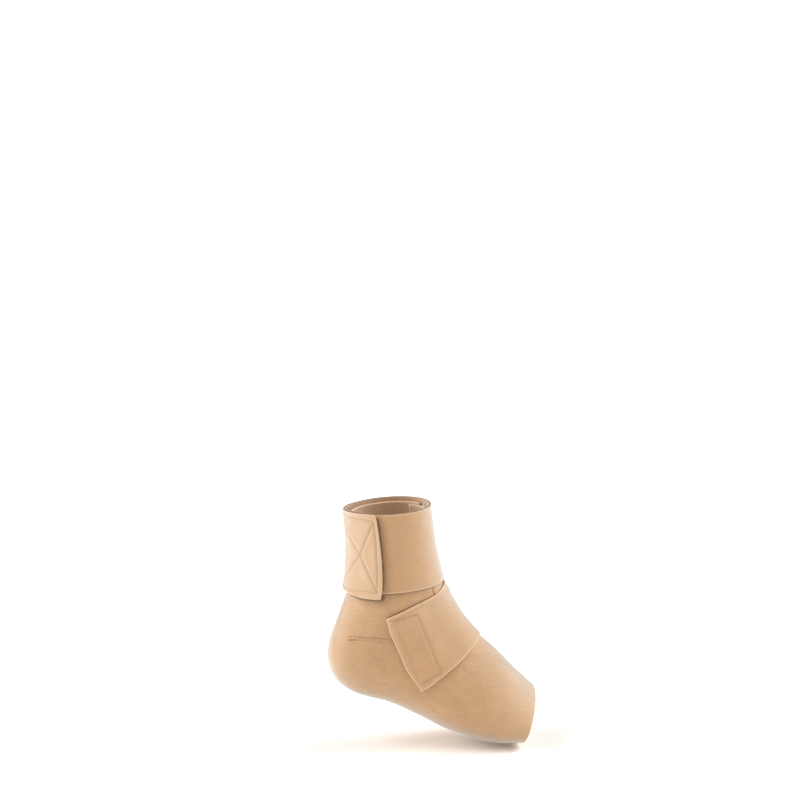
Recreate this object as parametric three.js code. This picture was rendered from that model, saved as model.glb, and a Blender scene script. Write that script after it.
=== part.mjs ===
// Ankle and foot compression wrap for a right foot, in the form it has when worn with the heel lifted.
// Millimetres. +X points to the toes, -Y to the outer side of the foot and +Z up the leg.
// The origin is the centre of the ankle opening.
//
// Every layer of cloth follows one form, the surface of the wrapped foot. A place on the form is
// given by two numbers: u counts the sections of the table below, from the toe edge to the ankle
// opening, and v goes once round a section, from 0 at the front over 0.25 on the outer side and
// 0.5 at the sole and heel to 0.75 on the inner side.

import * as THREE from "three";

// Thicknesses of the cloth layers and of the hook tape, and the clearance between two layers
const SLEEVE_WALL = 2.0;
const PANEL_WALL = 1.4;
const STRAP_WALL = 1.6;
const BAND_WALL = 1.6;
const PATCH_WALL = 1.0;
const GAP = 0.4;

// Sections of the form. front and back are the two ends of a section in the middle plane of the foot,
// lateral and medial its half widths, widest the place of its greatest width (0 front, 1 back),
// frontRound and backRound the exponents of its two half ovals (2 is an ellipse, more is squarer),
// and lean the sideways shift of its front end towards the inner side.
const SECTIONS = [
  { name: "toe edge", frontX: 132.2, frontZ: -171.2, backX: 117, backZ: -214, lateral: 42, medial: 44,
    widest: 0.62, frontRound: 2.1, backRound: 2.7, lean: 8 },
  { name: "ball", frontX: 113.5, frontZ: -153.2, backX: 89, backZ: -213.6, lateral: 43, medial: 45,
    widest: 0.62, frontRound: 2.1, backRound: 2.7, lean: 8 },
  { name: "metatarsals", frontX: 98.5, frontZ: -136, backX: 55, backZ: -204, lateral: 40, medial: 41,
    widest: 0.6, frontRound: 2.0, backRound: 2.6, lean: 6 },
  { name: "arch", frontX: 82.4, frontZ: -121, backX: 23, backZ: -188.2, lateral: 37, medial: 36,
    widest: 0.58, frontRound: 2.0, backRound: 2.5, lean: 4 },
  { name: "heel front", frontX: 73.2, frontZ: -111, backX: -3, backZ: -176.6, lateral: 34, medial: 34,
    widest: 0.55, frontRound: 2.0, backRound: 2.4, lean: 3 },
  { name: "heel base", frontX: 66.3, frontZ: -102, backX: -34, backZ: -167.4, lateral: 33, medial: 33,
    widest: 0.5, frontRound: 2.0, backRound: 2.4, lean: 2 },
  { name: "heel", frontX: 60.4, frontZ: -92, backX: -50.3, backZ: -152, lateral: 33, medial: 33,
    widest: 0.48, frontRound: 2.0, backRound: 2.3, lean: 1 },
  { name: "heel back", frontX: 55.7, frontZ: -84, backX: -54, backZ: -130, lateral: 33, medial: 33,
    widest: 0.46, frontRound: 2.0, backRound: 2.2, lean: 0 },
  { name: "heel top", frontX: 52.8, frontZ: -77, backX: -45.4, backZ: -101.5, lateral: 34, medial: 34,
    widest: 0.46, frontRound: 2.0, backRound: 2.0, lean: 0 },
  { name: "band foot", frontX: 48.8, frontZ: -69.5, backX: -35.8, backZ: -78, lateral: 34, medial: 34,
    widest: 0.48, frontRound: 2.1, backRound: 1.9, lean: 0 },
  { name: "band middle", frontX: 41, frontZ: -35, backX: -32.4, backZ: -42, lateral: 32, medial: 32,
    widest: 0.48, frontRound: 2.1, backRound: 1.9, lean: 0 },
  { name: "ankle opening", frontX: 36, frontZ: 2.3, backX: -34.4, backZ: -1.1, lateral: 31, medial: 31,
    widest: 0.48, frontRound: 2.1, backRound: 1.9, lean: 0 },
];
const LAST = SECTIONS.length - 1;

// Ankle bones that push the cloth out: place on the form, height and reach
const ANKLE_BONES = [
  { name: "outer", u: 8.2, v: 0.26, height: 2.5, reachU: 0.9, reachV: 0.05 },
  { name: "inner", u: 8.7, v: 0.73, height: 2.5, reachU: 0.9, reachV: 0.05 },
];

// The cloth swells out at the back of the ankle, just below the band: place, height and reach
const BACK_SWELL = { u: 8.72, height: 2, reachU: 0.32 };

// Foot sleeve: its top edge inside the band and its opening down the front of the ankle.
// Front panel: the underlap that closes that opening from inside.
const SLEEVE_TOP = LAST - 0.1;
const OPENING = { fromV: -0.1, toV: 0.125, bottomU: 7.6 };
const PANEL = { fromV: -0.16, toV: 0.19, bottomU: 7.0, topU: LAST - 0.15 };

// Instep strap, from its free end on the outer side over the crest of the instep to its sewn end.
// Each row gives the strap's upper and lower edge on the form, and how far its middle bows in v.
const STRAP_ROWS = [
  { name: "free end", topU: 7.9, topV: 0.282, bottomU: 3.63, bottomV: 0.288, bow: -0.033 },
  { name: "outer side", topU: 8.58, topV: 0.15, bottomU: 3.27, bottomV: 0.147, bow: -0.016 },
  { name: "crest", topU: 9.04, topV: 0, bottomU: 3.1, bottomV: 0, bow: 0 },
  { name: "inner side", topU: 8.58, topV: -0.15, bottomU: 3.27, bottomV: -0.147, bow: 0.016 },
  { name: "sewn end", topU: 7.9, topV: -0.282, bottomU: 3.63, bottomV: -0.288, bow: 0.033 },
];
// Its hook patch and the ramp behind the patch, as shares of the strap's length and width
const INSTEP_PATCH = { fromAlong: 0.02, toAlong: 0.16, fromAcross: 0.035, toAcross: 0.965 };
const INSTEP_RAMP = { fromAlong: 0.17, toAlong: 0.23 };

// Ankle band: it starts under its own free end, goes forward round the ankle, climbs over its start
// at the back and ends as a tab that hangs a little lower than the rest of the band
const BAND = { startV: 0.512, bottomU: 9.12, topU: LAST };
const CLIMB = { fromV: -0.35, toV: -0.475 };
const TAB = { bottomU: 8.95, topU: LAST + 0.03, bottomV: -0.696, topV: -0.69, bow: 0.005 };
const ANKLE_PATCH = { fromV: 0.314, toV: 0.506, bottomU: 9.16, topU: 10.96 };

// Cells of each layer's grid
const SLEEVE_CELLS = { along: 40, across: 36 };
const PANEL_CELLS = { along: 14, across: 12 };
const STRAP_CELLS = { along: 36, across: 14 };
const BAND_CELLS = { along: 48, across: 8 };
const INSTEP_PATCH_CELLS = { along: 5, across: 12 };
const ANKLE_PATCH_CELLS = { along: 8, across: 8 };

const lerp = THREE.MathUtils.lerp;
const smooth = THREE.MathUtils.smoothstep;
const level = (height) => () => height;

// A curve that is 0 at both ends of 0 to 1 and 1 in the middle
const hump = (b) => 4 * b * (1 - b);

// Shortest way round from one v to another
const turnBetween = (v, other) => v - other - Math.round(v - other);

// A column of the section table as a smooth curve through its rows
function column(key, u) {
  const row = Math.min(Math.max(Math.floor(u), 0), LAST - 1);
  const t = u - row;
  const p1 = SECTIONS[row][key];
  const p2 = SECTIONS[row + 1][key];
  const p0 = row > 0 ? SECTIONS[row - 1][key] : 2 * p1 - p2;
  const p3 = row + 2 <= LAST ? SECTIONS[row + 2][key] : 2 * p2 - p1;
  const a = 2 * p1;
  const b = p2 - p0;
  const c = 2 * p0 - 5 * p1 + 4 * p2 - p3;
  const d = 3 * p1 - p0 - 3 * p2 + p3;
  return 0.5 * (a + b * t + c * t * t + d * t * t * t);
}

// How far the ankle bones push the form out sideways at a place
function boneRise(u, v) {
  let rise = 0;
  for (const bone of ANKLE_BONES) {
    const du = (u - bone.u) / bone.reachU;
    const dv = turnBetween(v, bone.v) / bone.reachV;
    rise += bone.height * Math.exp(-du * du - dv * dv);
  }
  return rise;
}

// The front or back end of a section in X
function endX(end, u) {
  const away = (u - BACK_SWELL.u) / BACK_SWELL.reachU;
  const swell = end === "back" ? BACK_SWELL.height * Math.exp(-away * away) : 0;
  return column(end + "X", u) - swell;
}

// A point of the form: two half ovals that meet at the section's widest place
function formPoint(u, v) {
  const c = Math.cos(2 * Math.PI * v);
  const s = Math.sin(2 * Math.PI * v);
  const end = c >= 0 ? "front" : "back";
  const power = 2 / column(end + "Round", u);
  const along = Math.abs(c) ** power;
  const across = Math.abs(s) ** power;
  const widest = column("widest", u);
  const middleX = lerp(endX("front", u), endX("back", u), widest);
  const middleZ = lerp(column("frontZ", u), column("backZ", u), widest);
  const half = s >= 0 ? -column("lateral", u) - boneRise(u, v) : column("medial", u) + boneRise(u, v);
  return new THREE.Vector3(
    lerp(middleX, endX(end, u), along),
    half * across + (c > 0 ? column("lean", u) * along : 0),
    lerp(middleZ, column(end + "Z", u), along),
  );
}

// The point that lies a height above the form, measured square to it
function raised(u, v, height) {
  const STEP = 0.004;
  const alongU = formPoint(u + STEP, v).sub(formPoint(u - STEP, v));
  const alongV = formPoint(u, v + STEP).sub(formPoint(u, v - STEP));
  const outward = alongU.cross(alongV).normalize();
  return formPoint(u, v).addScaledVector(outward, height);
}

// A wall of cloth over a patch of the form. The patch is a grid of cells, along by across. place gives
// the u and v of a grid point, inner and outer the heights of the wall's two faces there. Cells that
// keep refuses are left open. closed joins the patch's last column of cells to its first.
function clothWall({ along, across, closed = false, place, inner, outer, keep = () => true }) {
  const columns = closed ? along : along + 1;
  const positions = [];
  for (const height of [outer, inner]) {
    for (let i = 0; i < columns; i++) {
      for (let j = 0; j <= across; j++) {
        const a = i / along;
        const b = j / across;
        const { u, v } = place(a, b);
        positions.push(...raised(u, v, height(a, b)).toArray());
      }
    }
  }
  const layer = columns * (across + 1);
  const point = (i, j) => (i % columns) * (across + 1) + j;
  const kept = (i, j) => {
    const wrapped = closed ? (i + along) % along : i;
    return wrapped >= 0 && wrapped < along && j >= 0 && j < across && keep(wrapped, j);
  };
  const index = [];
  const quad = (p, q, r, s) => index.push(p, q, r, p, r, s);
  for (let i = 0; i < along; i++) {
    for (let j = 0; j < across; j++) {
      if (!kept(i, j)) continue;
      const [p, q, r, s] = [point(i, j), point(i + 1, j), point(i + 1, j + 1), point(i, j + 1)];
      quad(p, q, r, s);
      quad(layer + s, layer + r, layer + q, layer + p);
      const rim = (from, to) => quad(to, from, layer + from, layer + to);
      if (!kept(i, j - 1)) rim(p, q);
      if (!kept(i + 1, j)) rim(q, r);
      if (!kept(i, j + 1)) rim(r, s);
      if (!kept(i - 1, j)) rim(s, p);
    }
  }
  const geometry = new THREE.BufferGeometry();
  geometry.setAttribute("position", new THREE.Float32BufferAttribute(positions, 3));
  geometry.setIndex(index);
  return geometry;
}

// The sleeve goes all the way round the foot, apart from the cells of its front opening
function footSleeve() {
  const { along, across } = SLEEVE_CELLS;
  return clothWall({
    along,
    across,
    closed: true,
    place: (a, b) => ({ u: b * SLEEVE_TOP, v: -a }),
    inner: level(-SLEEVE_WALL),
    outer: level(0),
    keep: (i, j) => {
      const v = turnBetween(-(i + 0.5) / along, 0);
      const u = ((j + 0.5) / across) * SLEEVE_TOP;
      return !(v > OPENING.fromV && v < OPENING.toV && u > OPENING.bottomU);
    },
  });
}

function frontPanel() {
  const top = -SLEEVE_WALL - GAP;
  return clothWall({
    ...PANEL_CELLS,
    place: (a, b) => ({ u: lerp(PANEL.bottomU, PANEL.topU, b), v: lerp(PANEL.toV, PANEL.fromV, a) }),
    inner: level(top - PANEL_WALL),
    outer: level(top),
  });
}

// A column of the strap's table as a smooth curve through its rows
function strapColumn(key, a) {
  const points = STRAP_ROWS.map((row, i) => new THREE.Vector2(i, row[key]));
  return new THREE.SplineCurve(points).getPoint(a).y;
}

function strapPlace(a, b) {
  return {
    u: lerp(strapColumn("bottomU", a), strapColumn("topU", a), b),
    v: lerp(strapColumn("bottomV", a), strapColumn("topV", a), b) + hump(b) * strapColumn("bow", a),
  };
}

// The strap's free end lies on its hook patch, and the rest of it on the sleeve
function strapLift(a) {
  return GAP + (1 - smooth(a, INSTEP_RAMP.fromAlong, INSTEP_RAMP.toAlong)) * (PATCH_WALL + GAP);
}

function instepStrap() {
  return clothWall({
    ...STRAP_CELLS,
    place: strapPlace,
    inner: strapLift,
    outer: (a) => strapLift(a) + STRAP_WALL,
  });
}

function instepHookPatch() {
  const { fromAlong, toAlong, fromAcross, toAcross } = INSTEP_PATCH;
  return clothWall({
    ...INSTEP_PATCH_CELLS,
    place: (a, b) => strapPlace(lerp(fromAlong, toAlong, a), lerp(fromAcross, toAcross, b)),
    inner: level(GAP),
    outer: level(GAP + PATCH_WALL),
  });
}

function bandPlace(a, b) {
  const endV = lerp(TAB.bottomV, TAB.topV, b) - hump(b) * TAB.bow;
  const v = lerp(BAND.startV, endV, a);
  const toTab = smooth(-v, -CLIMB.toV, -TAB.topV);
  const bottomU = lerp(BAND.bottomU, TAB.bottomU, toTab);
  const topU = lerp(BAND.topU, TAB.topU, toTab);
  return { u: lerp(bottomU, topU, b), v };
}

// Height of the band's inner face: on the sleeve, and past the back of the ankle on its own start
function bandLift(a, b) {
  const climbed = smooth(-bandPlace(a, b).v, -CLIMB.fromV, -CLIMB.toV);
  return GAP + climbed * (BAND_WALL + PATCH_WALL + 2 * GAP);
}

function ankleBand() {
  return clothWall({
    ...BAND_CELLS,
    place: bandPlace,
    inner: bandLift,
    outer: (a, b) => bandLift(a, b) + BAND_WALL,
  });
}

// The ankle patch lies between the band's start and its free end
function ankleHookPatch() {
  const base = GAP + BAND_WALL + GAP;
  return clothWall({
    ...ANKLE_PATCH_CELLS,
    place: (a, b) => ({
      u: lerp(ANKLE_PATCH.bottomU, ANKLE_PATCH.topU, b),
      v: lerp(ANKLE_PATCH.toV, ANKLE_PATCH.fromV, a),
    }),
    inner: level(base),
    outer: level(base + PATCH_WALL),
  });
}

const cloth = (color) => new THREE.MeshStandardMaterial({ color, roughness: 0.9, metalness: 0 });

const PIECES = [
  { name: "foot_sleeve", geometry: footSleeve(), color: 0xd6b28c },
  { name: "front_panel", geometry: frontPanel(), color: 0xdcbb92 },
  { name: "instep_strap", geometry: instepStrap(), color: 0xd8b58e },
  { name: "instep_hook_patch", geometry: instepHookPatch(), color: 0xc9a27a },
  { name: "ankle_band", geometry: ankleBand(), color: 0xd8b58e },
  { name: "ankle_hook_patch", geometry: ankleHookPatch(), color: 0xc9a27a },
];

const wrap = new THREE.Group();
for (const { name, geometry, color } of PIECES) {
  const mesh = new THREE.Mesh(geometry, cloth(color));
  mesh.name = name;
  wrap.add(mesh);
}

export default wrap;
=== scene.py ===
# %% [markdown]
# # A compression wrap for ankle and foot
# The wrap is a soft boot that is open at its front end: a sleeve with a heel
# pocket, a strap over the instep, and a band that goes round the ankle and closes
# over itself. All of it is beige brushed cloth on a thin foam. Its looks come from
# soft light that grazes the pile, from rounded cut edges, from lines of stitching
# and from small creases. The imported model gives every layer its place, so the
# script loads it first and keeps its box.

# %% Load the imported wrap
from math import cos, pi, radians, sin

import bmesh
import bpy
import numpy as np
from mathutils import Matrix, Vector, noise
from mathutils.bvhtree import BVHTree
from mathutils.kdtree import KDTree


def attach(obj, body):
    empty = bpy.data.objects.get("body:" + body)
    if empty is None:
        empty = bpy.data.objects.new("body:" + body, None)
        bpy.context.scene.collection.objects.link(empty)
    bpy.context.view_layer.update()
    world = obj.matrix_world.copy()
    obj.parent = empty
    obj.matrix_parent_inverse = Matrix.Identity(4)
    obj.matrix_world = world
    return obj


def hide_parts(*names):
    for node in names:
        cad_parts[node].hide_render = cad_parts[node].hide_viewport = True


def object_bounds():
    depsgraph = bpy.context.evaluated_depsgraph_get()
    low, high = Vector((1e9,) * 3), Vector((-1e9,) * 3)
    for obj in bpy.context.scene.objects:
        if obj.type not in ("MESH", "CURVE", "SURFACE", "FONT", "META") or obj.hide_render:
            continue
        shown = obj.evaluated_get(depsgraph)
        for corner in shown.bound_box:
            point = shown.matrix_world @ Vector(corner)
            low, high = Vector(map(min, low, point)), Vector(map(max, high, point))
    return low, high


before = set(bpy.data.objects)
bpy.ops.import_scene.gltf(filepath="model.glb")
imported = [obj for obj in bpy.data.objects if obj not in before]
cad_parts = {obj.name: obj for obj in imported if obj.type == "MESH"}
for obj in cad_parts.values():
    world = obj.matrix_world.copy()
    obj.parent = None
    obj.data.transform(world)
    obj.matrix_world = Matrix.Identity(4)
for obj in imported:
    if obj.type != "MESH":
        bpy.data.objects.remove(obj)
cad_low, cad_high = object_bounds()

MM = 0.001
print("layers:", sorted(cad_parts))
print("box in mm:", [round(v / MM, 1) for v in cad_high - cad_low])

# %% [markdown]
# ## The camera
# A picture of a worn thing is usually taken from far away with a long lens, which
# keeps the outline free of perspective. The lens is given here as a focal length
# in pixels of the picture. Together with a turn, a pitch, a distance and the pixel
# where the centre of the ankle opening is seen, it fixes the camera. Keeping these
# as named values also lets later cells send a ray through a pixel, to find the
# place on the cloth where a seam is seen.

# %% Set up the camera
PICTURE = 800
FOCAL_PX = 3409
SENSOR_WIDTH = 36
CAMERA_TURN = radians(-4)
CAMERA_PITCH = radians(12.2)
CAMERA_DISTANCE = 3.0
OPENING_PX = (388, 506)

right = Vector((cos(CAMERA_TURN), sin(CAMERA_TURN), 0))
forward = Vector((-sin(CAMERA_TURN) * cos(CAMERA_PITCH),
                  cos(CAMERA_TURN) * cos(CAMERA_PITCH), -sin(CAMERA_PITCH)))
up = right.cross(forward)


def pixel_direction(x, y):
    """The way from the camera through a pixel, for one metre of depth."""
    return (forward + right * (x - PICTURE / 2) / FOCAL_PX
            - up * (y - PICTURE / 2) / FOCAL_PX)


eye = -pixel_direction(*OPENING_PX) * CAMERA_DISTANCE
bpy.ops.object.camera_add(
    location=eye, rotation=Matrix((right, up, -forward)).transposed().to_euler())
camera = bpy.context.object
camera.name = "picture_camera"
camera.data.sensor_width = SENSOR_WIDTH
camera.data.lens = FOCAL_PX / PICTURE * SENSOR_WIDTH
camera.data.clip_end = 100
bpy.context.scene.camera = camera
print("camera at", [round(v, 3) for v in eye], "lens", round(camera.data.lens, 1), "mm")

# %% [markdown]
# ## The floor
# The picture has a white ground and no hard shadow. A studio gets that from a
# white table that is lit from below. Here a large plane of warm white paper glows
# a little, which lightens the shadow on it. The glow stays weak, because it also
# lights the wrap from below and would wash out the shade along the sole.

# %% Lay the floor
FLOOR_SIZE = 60
FLOOR_DROP = 2 * MM
FLOOR_GLOW = 0.09


def set_inputs(node, values):
    """Sets sockets of a node to plain values."""
    for name, value in values.items():
        node.inputs[name].default_value = value


bpy.ops.object.select_all(action="DESELECT")
bpy.ops.mesh.primitive_plane_add(size=FLOOR_SIZE, location=(0, 0, cad_low.z - FLOOR_DROP))
floor = bpy.context.object
floor.name = "studio_floor"

paper = bpy.data.materials.new("white_paper")
paper.use_nodes = True
set_inputs(paper.node_tree.nodes["Principled BSDF"], {
    "Base Color": (0.94, 0.915, 0.88, 1), "Roughness": 0.9, "Specular IOR Level": 0.1,
    "Emission Color": (1, 0.95, 0.88, 1), "Emission Strength": FLOOR_GLOW})
floor.data.materials.append(paper)
print("floor at", round(floor.location.z / MM, 1), "mm")

# %% [markdown]
# ## The light
# The cloth is palest where it turns away from the camera. Light from both sides
# and from behind does that to a pile: it stands in the tips of the fibres along the
# outline, while the part that faces the camera keeps its full colour. So wide suns
# stand at the sides and above, and none in front. A sun has no falloff, which keeps
# the floor evenly white far behind the wrap. The world adds a weak light from
# everywhere for the inside. The standard view transform keeps the beige as the
# finishes give it.

# %% Hang the lights
FILL_LIGHT = 0.05
# Name, compass turn and height in degrees, strength, width in degrees.
SUNS = (
    ("left_back_sun", -115, 12, 2.45, 50),
    ("left_sun", -80, 40, 2.00, 50),
    ("right_back_sun", 115, 46, 1.85, 60),
    ("right_sun", 80, 44, 1.92, 70),
)
bpy.context.scene.view_settings.view_transform = "Standard"
world = bpy.context.scene.world or bpy.data.worlds.new("fill_light")
bpy.context.scene.world = world
world.use_nodes = True
set_inputs(world.node_tree.nodes["Background"],
           {"Color": (1, 1, 1, 1), "Strength": FILL_LIGHT})

for name, turn, height, strength, width in SUNS:
    turn, height = radians(turn), radians(height)
    towards = Vector((sin(turn) * cos(height), -cos(turn) * cos(height), sin(height)))
    bpy.ops.object.light_add(type="SUN", rotation=towards.to_track_quat("Z", "Y").to_euler())
    sun = bpy.context.object
    sun.name = name
    sun.data.energy = strength
    sun.data.angle = radians(width)
print("lights:", [row[0] for row in SUNS])

# %% [markdown]
# ## The brushed pile
# The cloth is a knit whose loops have been brushed up into a short pile. From
# near it shows loops of about half a millimetre with loose fibres over them; from
# further off it shows patches a few millimetres wide where the pile lies another
# way, and faint level courses of the knit. A painted picture would have to be
# wrapped round a boot shape and would stretch. Textures that fill space don't, so
# one node group reads the object's own coordinates and hands out a colour and a
# height. Every cloth uses it with its own two colours and its own loop size.

# %% Helpers for node groups
COLOUR, NUMBER = "NodeSocketColor", "NodeSocketFloat"


def add_node(tree, kind, **settings):
    """A node with its settings."""
    node = tree.nodes.new(kind)
    for name, value in settings.items():
        setattr(node, name, value)
    return node


def plug(tree, value, socket):
    """Links an output to a socket, or sets the socket to a plain value."""
    if isinstance(value, bpy.types.NodeSocket):
        tree.links.new(value, socket)
    else:
        socket.default_value = value


def calculate(tree, operation, first, second, clamp=False):
    """A Math node's result."""
    node = add_node(tree, "ShaderNodeMath", operation=operation, use_clamp=clamp)
    plug(tree, first, node.inputs[0])
    plug(tree, second, node.inputs[1])
    return node.outputs[0]


def blend_colours(tree, share, first, second, way="MIX"):
    """A colour Mix node's result."""
    node = add_node(tree, "ShaderNodeMix", data_type="RGBA", blend_type=way)
    plug(tree, share, node.inputs["Factor"])
    plug(tree, first, node.inputs[6])
    plug(tree, second, node.inputs[7])
    return node.outputs[2]


def start_group(name, inputs, outputs):
    """An empty shader group with named sockets; returns it with its two end nodes."""
    group = bpy.data.node_groups.new(name, "ShaderNodeTree")
    for label, kind, value in inputs:
        group.interface.new_socket(label, in_out="INPUT", socket_type=kind).default_value = value
    for label, kind in outputs:
        group.interface.new_socket(label, in_out="OUTPUT", socket_type=kind)
    return group, group.nodes.new("NodeGroupInput"), group.nodes.new("NodeGroupOutput")


def cloudy(tree, where, scale, detail):
    """A noise in space, from -0.5 to 0.5."""
    node = add_node(tree, "ShaderNodeTexNoise")
    plug(tree, where, node.inputs["Vector"])
    set_inputs(node, {"Scale": scale, "Detail": detail})
    return calculate(tree, "SUBTRACT", node.outputs["Fac"], 0.5)


print("groups take", COLOUR, "and", NUMBER)

# %% The pile group
PATCH_SCALE, CLOUD_SCALE, FIBRE_SCALE = 330, 58, 2600
COURSE_STRETCH = (75, 75, 640)
FIBRE_SHARE, LOOP_SHADE, FIBRE_SHADE = 0.62, -0.35, 0.9
LOOP_HEIGHT = -0.8

pile_group, given, handed = start_group(
    "brushed_pile",
    [("Ground", COLOUR, (0.5, 0.3, 0.2, 1)), ("Fibre", COLOUR, (0.7, 0.5, 0.4, 1)),
     ("Loops per metre", NUMBER, 1500.0), ("Patchiness", NUMBER, 0.8)],
    [("Color", COLOUR), ("Height", NUMBER)])
tree = pile_group
place = add_node(tree, "ShaderNodeTexCoord").outputs["Object"]
stretched = add_node(tree, "ShaderNodeVectorMath", operation="MULTIPLY")
plug(tree, place, stretched.inputs[0])
plug(tree, COURSE_STRETCH, stretched.inputs[1])
courses = cloudy(tree, stretched.outputs[0], 1, 2)
fibres = cloudy(tree, place, FIBRE_SCALE, 3)
patches = cloudy(tree, place, PATCH_SCALE, 3)
clouds = cloudy(tree, place, CLOUD_SCALE, 2)
loops = add_node(tree, "ShaderNodeTexVoronoi")
plug(tree, place, loops.inputs["Vector"])
plug(tree, given.outputs["Loops per metre"], loops.inputs["Scale"])
from_loop = loops.outputs["Distance"]

mottle = calculate(tree, "ADD", calculate(tree, "ADD", patches, clouds), courses)
mottle = calculate(tree, "MULTIPLY", mottle, given.outputs["Patchiness"])
fine = calculate(tree, "ADD", calculate(tree, "MULTIPLY", from_loop, LOOP_SHADE),
                 calculate(tree, "MULTIPLY", fibres, FIBRE_SHADE))
share = calculate(tree, "ADD", calculate(tree, "ADD", mottle, FIBRE_SHARE), fine, clamp=True)
plug(tree, blend_colours(tree, share, given.outputs["Ground"], given.outputs["Fibre"]),
     handed.inputs["Color"])
plug(tree, calculate(tree, "ADD", fibres, calculate(tree, "MULTIPLY", from_loop, LOOP_HEIGHT)),
     handed.inputs["Height"])
print("group", tree.name, "with", len(tree.nodes), "nodes")

# %% [markdown]
# ## Painted shade and pale edges
# Painted shade darkens the pile in the troughs under the thread, along the edges
# of the layers that lie on it, and under the sole. Near its cut edges the pile is
# paler, partly from wear and partly as a painted highlight on the rounded edge;
# painted light also makes the tab and the open front end paler. Most of this
# depends on the distance to a line, which no space-filling texture knows. The
# shaping cells below measure those distances and keep them on the mesh as the
# attributes stitch and rim, and this second group turns them into colour.

# %% The group for painted shade and pale edges
PALE_SCALE, PALE_MEAN = 700, 0.9
# The brown that the painted shade multiplies into the colour.
PAINTED_SHADE_COLOUR = (0.34, 0.23, 0.15, 1)

shade_and_pale_group, given, handed = start_group(
    "stitch_and_edge",
    [("Color", COLOUR, (0.5, 0.3, 0.2, 1)), ("Paler", COLOUR, (0.8, 0.65, 0.5, 1)),
     ("Paleness", NUMBER, 0.6), ("Painted shade", NUMBER, 0.5)],
    [("Color", COLOUR)])
tree = shade_and_pale_group
place = add_node(tree, "ShaderNodeTexCoord").outputs["Object"]
# The stitch attribute carries painted shade: troughs, edges resting on the cloth, the sole.
painted_shade_mark = add_node(tree, "ShaderNodeAttribute", attribute_name="stitch").outputs["Fac"]
near_rim = add_node(tree, "ShaderNodeAttribute", attribute_name="rim").outputs["Fac"]
# Pale edges: the rim attribute mixes in a paler colour, as wear and as painted light.
uneven = calculate(tree, "ADD", cloudy(tree, place, PALE_SCALE, 3), PALE_MEAN)
lightened = calculate(tree, "MULTIPLY", calculate(tree, "MULTIPLY", near_rim, uneven),
                   given.outputs["Paleness"], clamp=True)
lightened_colour = blend_colours(tree, lightened, given.outputs["Color"], given.outputs["Paler"])
# Painted shade: the colour is multiplied darker where the stitch attribute is high.
marked = calculate(tree, "MULTIPLY", painted_shade_mark, given.outputs["Painted shade"], clamp=True)
plug(tree, blend_colours(tree, marked, lightened_colour, PAINTED_SHADE_COLOUR, way="MULTIPLY"), handed.inputs["Color"])
print("group", tree.name, "with", len(tree.nodes), "nodes")

# %% [markdown]
# ## The finishes
# Each cloth is a Principled shader with no gloss and a lot of sheen. Sheen is the
# light that stands in the tips of the fibres when a surface is seen at a slant,
# and it is what makes brushed cloth pale towards its outline. It is the same all
# over, so it is set on the shader itself. The row of a finish gives its colours,
# its loops, how patchy it is, how deep its pile is, its sheen, and how strongly
# its pale edges (wear and painted light) and its painted shade show on it.

# %% Make the finishes
# The paler colour: wear on the edges, and painted light on the edges, the tab and the front end.
PALER_COLOUR = (0.90, 0.62, 0.39)
SHEEN_TINT = (0.65, 0.86, 0.94, 1)
# Ground, fibre, loops per metre, patchiness, depth of pile, sheen, paleness, painted shade.
FINISH_ROWS = {
    "sleeve_pile": ((0.515, 0.273, 0.106), (0.621, 0.337, 0.138), 1700, 1.1, 0.3 * MM, 1.0, 0.35, 0.9),
    "wrap_pile": ((0.526, 0.279, 0.110), (0.632, 0.343, 0.142), 1500, 0.6, 0.3 * MM, 1.0, 0.6, 0.9),
    "panel_knit": ((0.56, 0.30, 0.125), (0.67, 0.37, 0.16), 1250, 0.5, 0.2 * MM, 1.0, 0.6, 0.5),
    "inner_lining": ((0.52, 0.33, 0.19), (0.62, 0.41, 0.26), 900, 0.6, 0.3 * MM, 0.6, 0.6, 0.5),
    "cut_foam": ((0.70, 0.46, 0.27), (0.82, 0.57, 0.36), 2200, 0.9, 0.2 * MM, 0.15, 0.0, 0.5),
    # Dark brown: painted shade on the band's cut edge.
    "painted_shade_edge": ((0.19, 0.11, 0.055), (0.30, 0.18, 0.095), 2200, 0.9, 0.2 * MM, 0.1, 0.0, 0.5),
    "hook_field": ((0.36, 0.22, 0.12), (0.50, 0.33, 0.20), 620, 0.3, 0.6 * MM, 0.3, 0.6, 0.5),
    # Dark brown: the thread's own colour with painted shade of its needle holes.
    "dark_thread_and_hole_shade": ((0.26, 0.145, 0.07), (0.38, 0.22, 0.115), 3600, 0.5, 0.1 * MM, 0.2, 0.6, 0.5),
    "tab_thread": ((0.46, 0.28, 0.15), (0.60, 0.38, 0.21), 3600, 0.5, 0.1 * MM, 0.4, 0.6, 0.5),
    "seam_thread": ((0.68, 0.43, 0.23), (0.80, 0.54, 0.32), 3600, 0.5, 0.1 * MM, 0.4, 0.6, 0.5),
}


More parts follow.
